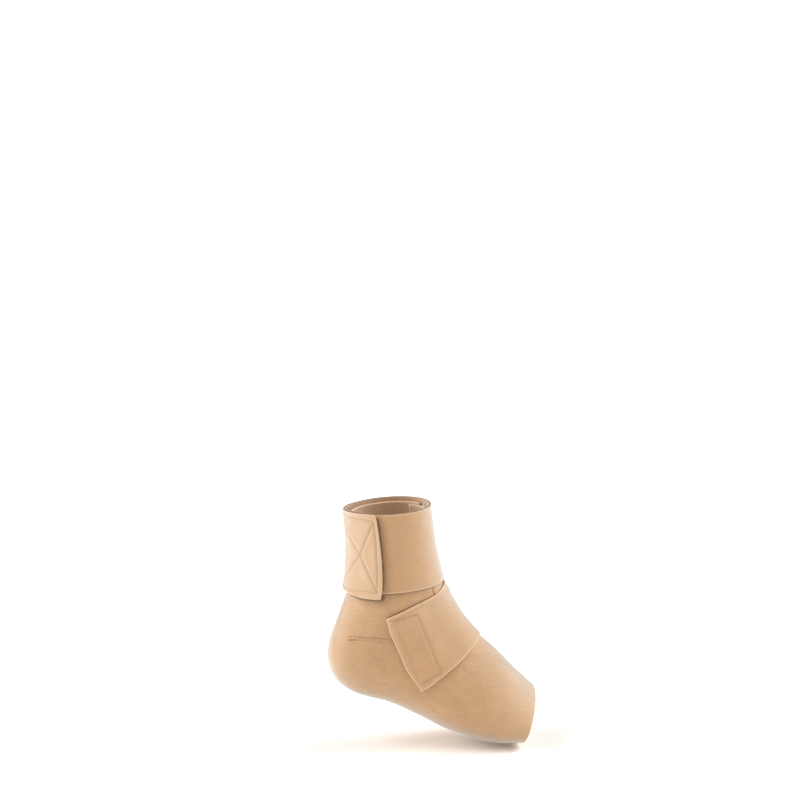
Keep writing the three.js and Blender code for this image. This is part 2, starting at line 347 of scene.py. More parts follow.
def finish_of(name, ground, fibre, loops, patchiness, depth, sheen, paleness, shade_weight):
    """A brushed cloth from the two groups."""
    material = bpy.data.materials.new(name)
    material.use_nodes = True
    tree = material.node_tree
    pile = add_node(tree, "ShaderNodeGroup", node_tree=pile_group)
    set_inputs(pile, {"Ground": (*ground, 1), "Fibre": (*fibre, 1),
                      "Loops per metre": loops, "Patchiness": patchiness})
    shade_and_pale = add_node(tree, "ShaderNodeGroup", node_tree=shade_and_pale_group)
    set_inputs(shade_and_pale, {"Paler": (*PALER_COLOUR, 1), "Paleness": paleness, "Painted shade": shade_weight})
    plug(tree, pile.outputs["Color"], shade_and_pale.inputs["Color"])
    bump = add_node(tree, "ShaderNodeBump")
    set_inputs(bump, {"Strength": 0.25, "Distance": depth})
    plug(tree, pile.outputs["Height"], bump.inputs["Height"])
    skin = tree.nodes["Principled BSDF"]
    set_inputs(skin, {"Roughness": 0.92, "Specular IOR Level": 0.12, "Sheen Weight": sheen,
                      "Sheen Roughness": 0.65, "Sheen Tint": SHEEN_TINT})
    plug(tree, shade_and_pale.outputs["Color"], skin.inputs["Base Color"])
    plug(tree, bump.outputs["Normal"], skin.inputs["Normal"])
    return material


FINISHES = {name: finish_of(name, *row) for name, row in FINISH_ROWS.items()}
print("finishes:", sorted(FINISHES))

# %% [markdown]
# ## Distances over the cloth
# The next steps move the outer face of the cloth by fractions of a millimetre.
# Sculpt brushes would do the same by hand; here the moves are worked out from
# distances, so that every run gives the same cloth. A search tree of points finds
# the distance to a line, and the rim's own points give the distance to the edge.

# %% Helpers that read a piece
def vectors_of(rows, name):
    """A vector of each row of a mesh."""
    flat = np.empty(len(rows) * 3, np.float32)
    rows.foreach_get(name, flat)
    return flat.reshape(-1, 3).astype(float)


def numbers_of(rows, name):
    """A whole number of each row of a mesh."""
    flat = np.empty(len(rows), np.int32)
    rows.foreach_get(name, flat)
    return flat


def points_of(piece):
    """All vertex places of a piece."""
    return vectors_of(piece.data.vertices, "co")


def normals_of(piece):
    """All vertex normals of a piece."""
    return vectors_of(piece.data.vertex_normals, "vector")


def sides_of(piece):
    """For each vertex the highest slot round it: face, lining or rim."""
    mesh = piece.data
    slots = np.repeat(numbers_of(mesh.polygons, "material_index"),
                      numbers_of(mesh.polygons, "loop_total"))
    side = np.zeros(len(mesh.vertices), np.int32)
    np.maximum.at(side, numbers_of(mesh.loops, "vertex_index"), slots)
    return side


def skin_of(piece):
    """The surface of a piece, ready for rays."""
    return BVHTree.FromObject(piece, bpy.context.evaluated_depsgraph_get())


def nearest_in(line, points):
    """For each point, the number of the nearest point of a line, and the distance."""
    tree = KDTree(len(line))
    for number, spot in enumerate(line):
        tree.insert(spot, number)
    tree.balance()
    found = [tree.find(spot)[1:] for spot in points]
    return np.array([row[0] for row in found]), np.array([row[1] for row in found])


def distance_to(points, line):
    """The distance of each point to the nearest point of a line of points."""
    return nearest_in(line, points)[1]


print("points of the packed sleeve:", len(points_of(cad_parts["foot_sleeve"])))

# %% Helpers that change a piece
def eased(share):
    """A ramp from 0 to 1 that starts and ends level."""
    return share * share * (3 - 2 * share)


def move_to(piece, points):
    """Moves all vertices of a piece to new places."""
    piece.data.vertices.foreach_set("co", points.astype(np.float32).ravel())
    piece.data.update()


def push_out(piece, heights):
    """Moves each vertex along its normal."""
    move_to(piece, points_of(piece) + normals_of(piece) * heights[:, None])


def keep_on_mesh(piece, name, values):
    """Keeps a number for each vertex as an attribute that the finishes read."""
    store = piece.data.attributes.new(name, "FLOAT", "POINT")
    store.data.foreach_set("value", values.astype(np.float32))


def raise_on_mesh(piece, name, values):
    """Makes a kept number at least as large as a value for each vertex."""
    store = piece.data.attributes[name]
    old = np.empty(len(values), np.float32)
    store.data.foreach_get("value", old)
    store.data.foreach_set("value", np.maximum(old, values).astype(np.float32))


print("a ramp, eased:", [round(eased(step / 4), 2) for step in range(5)])

# %% [markdown]
# ## From solid to cloth
# The CAD layers are walls of triangles with square rims. A copy is merged, its
# triangles are joined back into four-sided faces, and its sides are told apart:
# the rim is found by its sharp edges, and of the two large sides the outer one
# has the larger area. Each side takes its own material slot, so the face is
# brushed, the inside is lining and the rim shows cut foam; the band's rim is
# dark brown, as painted shade.

# %% Merge a layer
MERGE = 0.01 * MM
QUAD_BEND, QUAD_SKEW, QUAD_ROWS = radians(70), radians(150), 1.5


def work_on(piece):
    """Deselects everything else, so that operators act on this piece alone."""
    bpy.ops.object.select_all(action="DESELECT")
    piece.select_set(True)
    bpy.context.view_layer.objects.active = piece


def merged_copy(node, name):
    """A copy of a CAD layer with its triangles merged into four-sided faces."""
    piece = bpy.data.objects.new(name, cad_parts[node].data.copy())
    bpy.context.scene.collection.objects.link(piece)
    piece.data.materials.clear()
    work_on(piece)
    bpy.ops.mesh.customdata_custom_splitnormals_clear()
    bpy.ops.object.mode_set(mode="EDIT")
    bpy.ops.mesh.select_all(action="SELECT")
    bpy.ops.mesh.remove_doubles(threshold=MERGE)
    bpy.ops.mesh.tris_convert_to_quads(
        face_threshold=QUAD_BEND, shape_threshold=QUAD_SKEW, topology_influence=QUAD_ROWS)
    bpy.ops.object.mode_set(mode="OBJECT")
    return piece


print("points closer than", MERGE / MM, "mm are merged")

# %% Tell the sides of a layer apart
RIM_ANGLE = radians(55)
FACE, LINING, RIM = 0, 1, 2


def side_from(start, seen):
    """The faces that are reached from a face without crossing a sharp edge."""
    side, waiting = [], [start]
    seen.add(start)
    while waiting:
        face = waiting.pop()
        side.append(face)
        soft = [edge for edge in face.edges if edge.calc_face_angle(pi) <= RIM_ANGLE]
        for other in (other for edge in soft for other in edge.link_faces):
            if other not in seen:
                seen.add(other)
                waiting.append(other)
    return side


def tell_sides_apart(piece):
    """Gives the outer face, the lining and the rim their slots; returns the corners."""
    shape = bmesh.new()
    shape.from_mesh(piece.data)
    seen = set()
    sides = [side_from(face, seen) for face in shape.faces if face not in seen]
    sides.sort(key=lambda side: -sum(face.calc_area() for face in side))
    for number, side in enumerate(sides):
        for face in side:
            face.material_index = min(number, RIM)
    corners = [vert.co.copy() for vert in shape.verts if len(vert.link_edges) == 3]
    shape.to_mesh(piece.data)
    shape.free()
    return corners


print("slots: face", FACE, "lining", LINING, "rim", RIM)

# %% [markdown]
# ## Round edges on a smooth wall
# A subdivision surface makes the wall smooth and dense enough for stitches and
# creases, but it also draws cut edges in and rounds corners off. So each large
# side is inset first, which holds the edge where it was cut, then the rim's edges
# are bevelled round, and the corners are creased so that they stay sharp.

# %% Turn a layer into cloth
HOLD_WIDTH = 0.9 * MM
PIN_REACH = 1.0 * MM


def round_edges(piece, edge_round):
    """Insets the two large sides and bevels the edges of the rim."""
    bpy.ops.object.mode_set(mode="EDIT")
    bpy.ops.mesh.select_mode(type="FACE")
    for slot in (FACE, LINING):
        bpy.ops.mesh.select_all(action="DESELECT")
        piece.active_material_index = slot
        bpy.ops.object.material_slot_select()
        bpy.ops.mesh.inset(thickness=HOLD_WIDTH, use_even_offset=True)
    bpy.ops.mesh.select_mode(type="EDGE")
    bpy.ops.mesh.select_all(action="DESELECT")
    bpy.ops.mesh.edges_select_sharp(sharpness=RIM_ANGLE)
    bpy.ops.mesh.bevel(offset=edge_round, segments=1, material=RIM)
    bpy.ops.object.mode_set(mode="OBJECT")


def make_cloth(node, name, finishes, edge_round, level):
    """A smooth, dense cloth piece that stands for a CAD layer."""
    piece = merged_copy(node, name)
    for finish in finishes:
        piece.data.materials.append(FINISHES[finish])
    corners = tell_sides_apart(piece)
    work_on(piece)
    round_edges(piece, edge_round)
    keep_on_mesh(piece, "crease_vert", distance_to(points_of(piece), corners) < PIN_REACH)
    smooth = piece.modifiers.new("smooth", "SUBSURF")
    smooth.levels = smooth.render_levels = level
    bpy.ops.object.modifier_apply(modifier=smooth.name)
    piece.data.attributes.remove(piece.data.attributes["crease_vert"])
    bpy.ops.object.shade_smooth()
    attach(piece, "root")
    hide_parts(node)
    print(name, "corners", len(corners), "faces", len(piece.data.polygons))
    return piece


print("cut edges are held over", round(HOLD_WIDTH / MM, 2), "mm")

# %% [markdown]
# ## The six layers
# The sleeve is the large one, so two levels of subdivision give it cells of about
# a millimetre and a half. The strap and the band carry the boxes of stitching and
# take a third level. The rounding is a little less than half the wall, which
# leaves a narrow flat of foam in the middle of each cut edge. The band's cut edge
# is dark brown: painted shade on the wall of the edge.

# %% Make the layers
TAPE = ("hook_field", "hook_field", "hook_field")
# CAD layer, name, finishes of face, lining and rim, rounding of the edges, level.
LAYERS = (
    ("foot_sleeve", "sleeve_cloth", ("sleeve_pile", "inner_lining", "cut_foam"), 0.45 * MM, 2),
    ("front_panel", "panel_cloth", ("panel_knit", "inner_lining", "cut_foam"), 0.35 * MM, 2),
    ("instep_strap", "strap_cloth", ("wrap_pile", "inner_lining", "cut_foam"), 0.45 * MM, 3),
    ("ankle_band", "band_cloth", ("wrap_pile", "inner_lining", "painted_shade_edge"), 0.45 * MM, 3),
    ("instep_hook_patch", "strap_hook_tape", TAPE, 0.25 * MM, 2),
    ("ankle_hook_patch", "band_hook_tape", TAPE, 0.25 * MM, 2),
)
sleeve, panel, strap, band, strap_hooks, band_hooks = [make_cloth(*row) for row in LAYERS]

# %% [markdown]
# ## Settling and pale edges
# Stretched cloth is never as even as a computed surface: it swells and sinks by a
# few tenths of a millimetre over two or three centimetres. A slow noise in space
# moves all layers alike, so the strap follows what lies under it. The rim keeps
# its place. The same pass keeps the distance to the edge on the mesh; near the
# edge the pile turns paler, partly as wear and partly as a painted highlight on
# the rounded edge. Over a wide stretch from the open front end of the sleeve the
# pile is painted paler too, as painted sheen.

# %% Settle the layers
SWELL = 0.28 * MM
SWELL_SCALE, FINE_SCALE, FINE_SHARE = 36, 90, 0.6
FINE_SHIFT = Vector((3, 5, 8))
STILL_WIDTH = 4 * MM
RIM_WIDTH = 1.5 * MM


def slow_swell(spot):
    """Wide swells with finer ones on them."""
    fine = noise.noise(spot * FINE_SCALE + FINE_SHIFT)
    return noise.noise(spot * SWELL_SCALE) + FINE_SHARE * fine


for layer in (sleeve, panel, strap, band):
    points, side = points_of(layer), sides_of(layer)
    to_rim = distance_to(points, points[side == RIM])
    swell = SWELL * np.array([slow_swell(Vector(spot)) for spot in points])
    push_out(layer, swell * np.clip(to_rim / STILL_WIDTH, 0, 1) * (side == FACE))
    # Near the edge the pile turns paler: partly wear, partly a painted highlight on the rounded edge.
    keep_on_mesh(layer, "rim", np.clip(1 - to_rim / RIM_WIDTH, 0, 1))
    print(layer.name, "swells", [round(float(v) / MM, 2) for v in (swell.min(), swell.max())], "mm")

# %% Paint sheen on the front end of the sleeve
TOE_PAINTED_SHEEN, TOE_REACH, TOE_FROM = 0.7, 45 * MM, 80 * MM

sleeve_points = points_of(sleeve)
toe_edge = sleeve_points[(sides_of(sleeve) == RIM) & (sleeve_points[:, 0] > TOE_FROM)]
near_toe = np.clip(1 - distance_to(sleeve_points, toe_edge) / TOE_REACH, 0, 1)
# Painted sheen: the pile is made paler towards the open front end.
raise_on_mesh(sleeve, "rim", TOE_PAINTED_SHEEN * near_toe)
print("points rubbed at the front end:", int((near_toe > 0).sum()))

# %% [markdown]
# ## The panel in the opening
# The sleeve is open at the front, and the panel under it closes the opening. Soft
# as it is, it swells up into the opening until it is nearly level with the sleeve.
# A ray from each point of its face tells whether the sleeve lies above it, and the
# points with nothing above them rise, more the further in they lie.

# %% Swell the panel into the opening
PANEL_RISE = 2.3 * MM
RISE_FROM, RISE_RUN = 0.4 * MM, 2.4 * MM
COVER_REACH = 5 * MM

sleeve_skin = skin_of(sleeve)
panel_points, panel_face = points_of(panel), sides_of(panel) == FACE
covered = np.array([sleeve_skin.ray_cast(Vector(spot), Vector(normal), COVER_REACH)[0] is not None
                    for spot, normal in zip(panel_points, normals_of(panel))])
from_cover = distance_to(panel_points, panel_points[covered & panel_face])
rise = np.clip((from_cover - RISE_FROM) / RISE_RUN, 0, 1) * ~covered * panel_face
push_out(panel, PANEL_RISE * eased(rise))
print("panel points that rise:", int((rise > 0).sum()))

# %% [markdown]
# ## Lines on the cloth
# A sewn line does two things: the thread lies on the cloth as a row of short
# grains, and its pull makes a shallow trough with soft banks. Both need the line
# as a row of points on the cloth. One helper follows a straight line between two
# places and drops it on the surface from outside; another sends rays through the
# pixels where a line is seen. A third finds the corners of a patch of hook tape,
# because the boxes of stitching hold the tape.

# %% Helpers that find a line
LINE_STEP = 0.4 * MM
FAR_OUTSIDE = 80 * MM


def steps_between(start, end):
    """Shares from 0 to 1 that divide the way between two places evenly."""
    count = max(2, int(round((end - start).length / LINE_STEP)) + 1)
    return [number / (count - 1) for number in range(count)]


def hits_only(found):
    """The places and normals of the rays that met the surface."""
    return [(place, normal) for place, normal, _, _ in found if place is not None]


def line_on(skin, start, end, outward):
    """Points with normals on a surface along a straight line, met from outside."""
    spots = [start.lerp(end, share) for share in steps_between(start, end)]
    return hits_only(skin.ray_cast(spot + outward * FAR_OUTSIDE, -outward) for spot in spots)


def seen_through(skin, x, y):
    """What a ray from the camera through a pixel meets."""
    return skin.ray_cast(eye, pixel_direction(x, y).normalized())


def line_seen(skin, pixels):
    """Points with normals on a surface along a line that is seen through pixels."""
    line = []
    for first, last in zip(pixels, pixels[1:]):
        start, end = seen_through(skin, *first)[0], seen_through(skin, *last)[0]
        line += hits_only(seen_through(skin, *(a + (b - a) * share for a, b in zip(first, last)))
                          for share in steps_between(start, end))
    return line


print("a point on every line each", LINE_STEP / MM, "mm")

# %% Helpers that find the corners of a patch
def corner_spots(node):
    """The corners of a thin wall, each halfway between its two large sides."""
    shape = bmesh.new()
    shape.from_mesh(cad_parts[node].data)
    bmesh.ops.remove_doubles(shape, verts=shape.verts, dist=MERGE)
    bmesh.ops.join_triangles(shape, faces=shape.faces, angle_face_threshold=QUAD_BEND,
                             angle_shape_threshold=QUAD_SKEW, topology_influence=QUAD_ROWS)
    ends = [vert.co.copy() for vert in shape.verts if len(vert.link_edges) == 3]
    shape.free()
    spots = []
    while ends:
        first = ends.pop()
        near = min(ends, key=lambda other: (other - first).length)
        ends.remove(near)
        spots.append((first + near) / 2)
    return spots


def patch_corners(node):
    """The four corners of a patch, in order round it, and its outward direction."""
    corners = corner_spots(node)
    middle = sum(corners, Vector()) / len(corners)
    outward = max(((a - middle).cross(b - middle) for a in corners for b in corners),
                  key=lambda v: v.length).normalized()
    if outward.dot(middle - (cad_low + cad_high) / 2) < 0:
        outward = -outward
    across = corners[0] - middle
    side = outward.cross(across)
    corners.sort(key=lambda c: np.arctan2((c - middle).dot(side), (c - middle).dot(across)))
    return corners, outward


tape_corners, band_out = patch_corners("ankle_hook_patch")
print("tape of the band faces", [round(v, 2) for v in band_out])

# %% [markdown]
# ## The lifted tab
# Hook tape is stiffer than cloth and holds best in its middle, so the free end of
# the band stands off a little along its edge. That turns the tab towards the left
# and gives its edge a deep shadow. The points that lie outside the tape move along
# the tape's normal, most at the free edge and not at all at the far end. The tab is
# also painted paler, as painted light from the left that falls on it.

# %% Lift the free end of the band
TAB_LIFT, TAB_REACH = 1.2 * MM, 26 * MM
TAB_PAINTED_LIGHT = 0.62
TAB_MARGIN = 15 * MM
ABOVE_TAPE = 0.1 * MM
EDGE_STEPS = 60

free_corners = sorted(tape_corners, key=lambda corner: -corner.x)[:2]
free_edge = [free_corners[0].lerp(free_corners[1], number / EDGE_STEPS)
             for number in range(EDGE_STEPS + 1)]
tape_face = sides_of(band_hooks) == FACE
tape_points, tape_normals = points_of(band_hooks)[tape_face], normals_of(band_hooks)[tape_face]
band_points = points_of(band)
nearest, to_tape = nearest_in(tape_points, band_points)
tape_out = tape_normals[nearest]
above_tape = ((band_points - tape_points[nearest]) * tape_out).sum(1) > ABOVE_TAPE
lift = np.clip(1 - distance_to(band_points, free_edge) / TAB_REACH, 0, 1) * above_tape
lifted = band_points + tape_out * (TAB_LIFT * eased(lift))[:, None]
move_to(band, lifted)
# Painted light: the tab is made paler through the rim attribute.
raise_on_mesh(band, "rim", TAB_PAINTED_LIGHT * lift)
tab_edge = lifted[(sides_of(band) == RIM) & above_tape & (to_tape < TAB_MARGIN)]
print("tab points lifted:", int((lift > 0).sum()))

# %% [markdown]
# ## The draped margin of the strap
# Under its free end the strap is held off the sleeve by the thickness of the hook
# tape. Past the tape nothing holds it, so its margin hangs down to the sleeve and
# the edge casts only a thin shadow. The points near the edge move down along the
# tape's facing, most at the edge, and only where the edge runs beside the tape.

# %% Drape the margin of the strap
STRAP_DRAPE, DRAPE_RUN = 1.1 * MM, 5 * MM
BESIDE_TAPE, BESIDE_RUN = 5 * MM, 3.5 * MM
INNER_SIDE = Vector((0, 1, 0))
STRAP_STANDOFF = 20 * MM

tape_points = points_of(strap_hooks)
strap_points = points_of(strap)
strap_edge = strap_points[sides_of(strap) == RIM]
nearest, to_edge = nearest_in(strap_edge, strap_points)
edge_to_tape = distance_to(strap_edge, tape_points)[nearest]
hang = np.clip(1 - to_edge / DRAPE_RUN, 0, 1)
hang *= np.clip(1 - (edge_to_tape - BESIDE_TAPE) / BESIDE_RUN, 0, 1)
before_tape = Vector(tape_points.mean(0)) - INNER_SIDE * STRAP_STANDOFF
strap_out = skin_of(strap_hooks).find_nearest(before_tape)[1]
move_to(strap, strap_points - np.array(strap_out) * (STRAP_DRAPE * eased(hang))[:, None])
print("strap points draped:", int((hang > 0).sum()), "along", [round(v, 2) for v in strap_out])

# %% [markdown]
# ## Where the strap is sewn
# A narrow box of stitching holds the tape under the strap's free end, and its four
# sides are seen from the camera. At its other end the strap is sewn to the sleeve,
# on the side that is turned away. Two rows of thread across the strap are the usual
# way, so two lines are laid a little in from that end.

# %% Find the sewn lines of the strap
STRAP_BOX_PX = ((394.2, 621.3), (416.5, 614.5), (441, 672.5), (420.5, 684.8))
END_ROWS = (3.5 * MM, 8.5 * MM)
END_MARGIN = 3.5 * MM
END_STANDOFF = 30 * MM

strap_skin = skin_of(strap)
left_row, top_row, right_row, low_row = [
    line_seen(strap_skin, (STRAP_BOX_PX[n - 1], STRAP_BOX_PX[n])) for n in range(4)]

strap_corners, _ = patch_corners("instep_strap")
end_low, end_top = sorted((c for c in strap_corners if c.y > 0), key=lambda c: c.z)
end_out = strap_skin.find_nearest((end_low + end_top) / 2 + INNER_SIDE * END_STANDOFF)[1]
inward = (end_top - end_low).cross(end_out).normalized()
inward *= 1 if inward.x > 0 else -1
margin = (end_top - end_low).normalized() * END_MARGIN
end_rows = [line_on(strap_skin, end_low + inward * run + margin, end_top + inward * run - margin, end_out)
            for run in END_ROWS]
print("points on the strap's box:", len(left_row + top_row + right_row + low_row))

# %% [markdown]
# ## Where the band is sewn
# The tape under the tab is held by a box with a cross in it. The box follows the
# tape's edges, and only its right half is seen from the camera. Each line that
# goes round to the back starts with the part that is seen and goes on, straight
# over the cloth, to a corner of the tape that lies out of sight.

# %% Find the sewn lines of the band
BOX_INSET = 1.25 * MM
TAB_TOP_PX, TAB_LOW_PX, CROSS_PX = (373.4, 521.8), (377.2, 593.2), (360.2, 554.7)
TAB_SIDE_PX = ((376.2, 545), (377.4, 570))


def drawn_in(corners, inset):
    """Corners moved in along both of their edges."""
    made = []
    for number, corner in enumerate(corners):
        after, before = corners[(number + 1) % 4], corners[number - 1]
        made.append(corner + ((after - corner).normalized() + (before - corner).normalized()) * inset)
    return made


band_skin = skin_of(band)
back_corners = sorted(drawn_in(tape_corners, BOX_INSET), key=lambda corner: corner.x)[:2]
back_low, back_top = sorted(back_corners, key=lambda corner: corner.z)
band_lines = [
    line_seen(band_skin, (TAB_TOP_PX, *TAB_SIDE_PX, TAB_LOW_PX)),
    line_seen(band_skin, (CROSS_PX, TAB_TOP_PX)),
    line_seen(band_skin, (CROSS_PX, TAB_LOW_PX)),
    line_on(band_skin, back_low, back_top, band_out),
]
# Where a line starts, where it goes out of sight, and the corner that it goes on to.
round_the_back = (
    (TAB_TOP_PX, (348.4, 516.8), back_top),
    (TAB_LOW_PX, (347.5, 589), back_low),
    (CROSS_PX, (348, 534.8), back_top),
    (CROSS_PX, (347.2, 574), back_low),
)
for start_px, last_px, corner in round_the_back:
    seen = line_seen(band_skin, (start_px, last_px))
    band_lines.append(seen + line_on(band_skin, seen[-1][0], corner, band_out)[1:])
print("sewn lines of the band:", len(band_lines))

# %% [markdown]
# ## Seams and creases of the sleeve
# A short flat seam gathers the heel pocket on each side, and a fine one runs down
# the back. The heel seam and the back seam are seen; the inner heel seam lies at
# the same height as the outer one. A few short creases cross the sleeve below the
# strap, where the cloth is drawn forward. The last line here marks where the sleeve
# lies in the shade of the tab, which needs finer cells.

# %% Find the lines of the sleeve
HEEL_SEAM_PX = ((347.5, 638.4), (361, 638.3), (378, 639.2), (396, 641.4))
BACK_SEAM_PX = ((346.5, 601), (341.5, 612), (337.5, 625), (334, 645), (334.5, 660))
CREASES_PX = (
    ((430, 694), (441, 702)),
    ((424, 700), (438, 712)),
    ((400, 696), (418, 705)),
    ((480, 700), (492, 716)),
    ((490, 704), (500, 725)),
)
TAB_SHADOW_PX = ((347, 595), (364, 600), (383, 603))

heel_line = line_seen(sleeve_skin, HEEL_SEAM_PX)
inner_line = line_on(sleeve_skin, heel_line[0][0], heel_line[-1][0], INNER_SIDE)
back_line = line_seen(sleeve_skin, BACK_SEAM_PX)
crease_lines = [line_seen(sleeve_skin, pixels) for pixels in CREASES_PX]
tab_shadow = line_seen(sleeve_skin, TAB_SHADOW_PX)
print("points: heel", len(heel_line), "inner", len(inner_line), "back", len(back_line))

# %% [markdown]
# ## Finer cells where they are needed
# The sleeve's cells of a millimetre and a half are too wide for a seam or for the
# dark line along an edge that lies on it. A third level of subdivision all over
# would make the mesh four times as heavy, so only the faces near those lines are
# divided, three by three.

# %% Divide the sleeve near its lines
def places_of(lines):
    """All places on some lines."""
    return [place for line in lines for place, _ in line]


def refine_near(piece, spots, reach):
    """Divides the faces of the outer side that lie near some points."""
    mesh = piece.data
    near = distance_to(vectors_of(mesh.polygons, "center"), spots) < reach
    near &= numbers_of(mesh.polygons, "material_index") == FACE
    work_on(piece)
    bpy.ops.object.mode_set(mode="EDIT")
    bpy.ops.mesh.select_mode(type="FACE")
    bpy.ops.mesh.select_all(action="DESELECT")
    bpy.ops.object.mode_set(mode="OBJECT")
    mesh.polygons.foreach_set("select", near)
    bpy.ops.object.mode_set(mode="EDIT")
    bpy.ops.mesh.subdivide(number_cuts=2, smoothness=0)
    bpy.ops.object.mode_set(mode="OBJECT")
    print(piece.name, int(near.sum()), "faces divided, now", len(mesh.polygons))


EDGE_REACH, SEAM_REACH, SHADOW_REACH = 3.2 * MM, 3.0 * MM, 4.5 * MM

cut_edges = [spot for layer in (strap, band) for spot in points_of(layer)[sides_of(layer) == RIM]]
refine_near(sleeve, cut_edges, EDGE_REACH)
refine_near(sleeve, places_of((heel_line, inner_line, back_line)), SEAM_REACH)
refine_near(sleeve, places_of([tab_shadow]), SHADOW_REACH)

# %% [markdown]
# ## Troughs under the thread
# The foam gives way under a stitch and swells beside it. A narrow dip with a wide,
# low bank on both sides gives that shape, and the shade in the dip is kept for the
# finish. The seams of the sleeve are flatter than the boxes: two shallow dips, one
# on each side of the line, leave a low ridge between them.

# %% Press the troughs
TROUGH_WIDTH = 0.60 * MM
BANK_HEIGHT, BANK_WIDTH = 0.30 * MM, 3.2 * MM


def press_lines(piece, rows, bank):
    """A trough along each line, of its own depth and shade, and the stitch attribute."""
    points, face = points_of(piece), sides_of(piece) == FACE
    nearest = np.full(len(points), 1.0)
    dips, shades = np.zeros(len(points)), np.zeros(len(points))
    for line, depth, shade in rows:
        away = distance_to(points, places_of([line]))
        dip = np.exp(-((away / TROUGH_WIDTH) ** 2))
        nearest = np.minimum(nearest, away)
        dips = np.maximum(dips, depth * dip)
        shades = np.maximum(shades, shade * dip)
    swell = np.exp(-(((nearest - BANK_WIDTH) / BANK_WIDTH) ** 2))
    push_out(piece, (bank * swell - dips) * face)
    # Painted shade in the dip of each trough, kept as the stitch attribute.
    keep_on_mesh(piece, "stitch", shades * face)
    print(piece.name, len(rows), "troughs, deepest", round(float(dips.max()) / MM, 2), "mm")


# Line, depth of its trough, shade.
strap_rows = [(left_row, 0.15 * MM, 0.05), (right_row, 0.35 * MM, 0.16)]
strap_rows += [(row, 0.25 * MM, 0.06) for row in (top_row, low_row, *end_rows)]
press_lines(strap, strap_rows, BANK_HEIGHT)
press_lines(band, [(line, 0.50 * MM, 0.15) for line in band_lines], BANK_HEIGHT)

# %% Press the seams and the creases
SEAM_HALF = 1.5 * MM
SEAM_DEPTH, SEAM_SHADE = 0.10 * MM, 0.03
CREASE_DEPTH, CREASE_WIDTH = 0.30 * MM, 1.6 * MM


def row_beside(line, shift):
    """The points of a row at a distance beside a line, in the surface."""
    made = []
    for number, (place, normal) in enumerate(line):
        ahead = line[min(number + 1, len(line) - 1)][0] - line[max(number - 1, 0)][0]
        made.append((place + normal.cross(ahead).normalized() * shift, normal))
    return made


heel_rows, inner_rows, back_rows = [
    [row_beside(line, shift) for shift in (-SEAM_HALF, SEAM_HALF)]
    for line in (heel_line, inner_line, back_line)]
press_lines(sleeve, [(row, SEAM_DEPTH, SEAM_SHADE) for row in heel_rows + inner_rows + back_rows],
            SEAM_DEPTH)

away = distance_to(points_of(sleeve), places_of(crease_lines))
crease = np.exp(-((away / CREASE_WIDTH) ** 2)) * (sides_of(sleeve) == FACE)
push_out(sleeve, -CREASE_DEPTH * crease)
print("creases pressed:", len(crease_lines))

# %% [markdown]
# ## Painted shadow along an edge
# Where the edge of one layer rests on another, a painted shadow darkens the pile
# under it: a dark line along the edge, with a faint dim beside it. A vertex belongs
# to that line if the edge nearest to it lies above it, measured along its own
# normal, and only a little to its side. Painted shade also darkens the sleeve where
# it faces down under its front half.

# %% Paint the shadow along the overlaps
EDGE_SHADOW_WIDTH, TAB_SHADOW_WIDTH, DIM_WIDTH = 0.9 * MM, 2.3 * MM, 5 * MM
NEAR_BELOW, FAR_BELOW = 0.2 * MM, 9 * MM
SHOWS = 0.1


def paint_edge_shadow(piece, edges, shade, dim, width):
    """Paints shadow on the face of a piece along the edges of the layer above it."""
    points, normals = points_of(piece), normals_of(piece)
    offset = points - edges[nearest_in(edges, points)[0]]
    height = (offset * normals).sum(1)
    beside = np.sqrt(np.maximum((offset ** 2).sum(1) - height ** 2, 0))
    # Painted shadow: a dark line along the edge and a faint dim beside it.
    mark = shade * np.exp(-((beside / width) ** 4)) + dim * np.exp(-((beside / DIM_WIDTH) ** 2))
    mark *= (height < -NEAR_BELOW) * (height > -FAR_BELOW) * (sides_of(piece) == FACE)
    raise_on_mesh(piece, "stitch", mark)
    print(piece.name, int((mark > SHOWS).sum()), "vertices pressed")


strap_edge = points_of(strap)[sides_of(strap) == RIM]
band_edge = points_of(band)[sides_of(band) == RIM]
# Piece below, edge that rests on it, shade of the line, shade beside it, width.
overlaps = (
    (sleeve, strap_edge, 0.55, 0.04, EDGE_SHADOW_WIDTH),
    (sleeve, band_edge, 0.70, 0.12, EDGE_SHADOW_WIDTH),
    (sleeve, tab_edge, 1.00, 0.03, TAB_SHADOW_WIDTH),
    (band, band_edge, 1.00, 0.05, EDGE_SHADOW_WIDTH),
)
for row in overlaps:
    paint_edge_shadow(*row)

# %% Paint shade under the sole
UNDERSIDE_SHADE, UNDERSIDE_FROM, UNDERSIDE_RUN = 0.25, 40 * MM, 35 * MM
UNDERSIDE_FACING, FACING_RUN = 0.15, 0.6

forward_share = np.clip((points_of(sleeve)[:, 0] - UNDERSIDE_FROM) / UNDERSIDE_RUN, 0, 1)
underneath = np.clip((UNDERSIDE_FACING - normals_of(sleeve)[:, 2]) / FACING_RUN, 0, 1)
# Painted shade on the faces of the front half that turn downwards.
shaded_below = UNDERSIDE_SHADE * forward_share * underneath * (sides_of(sleeve) == FACE)
raise_on_mesh(sleeve, "stitch", shaded_below)
print("points of the sole trodden:", int((shaded_below > SHOWS).sum()))

# %% [markdown]
# ## Stitches
# One stitch is a grain of thread: a small ball drawn out long. It is modelled
# once, and every stitch is a copy of its points, turned to the line it lies on and
# drawn to its length. Joining them into one mesh for each kind of thread keeps the
# scene light. The boxes are sewn with a plain stitch; the heel seams have short
# stitches across two rows, which end in a dense bar.

# %% Model one stitch
bpy.ops.object.select_all(action="DESELECT")
bpy.ops.mesh.primitive_uv_sphere_add(segments=8, ring_count=6, radius=0.5)
grain = bpy.context.object
grain_points = points_of(grain)[:, [2, 0, 1]]
grain_faces = [list(face.vertices) for face in grain.data.polygons]
bpy.data.objects.remove(grain)


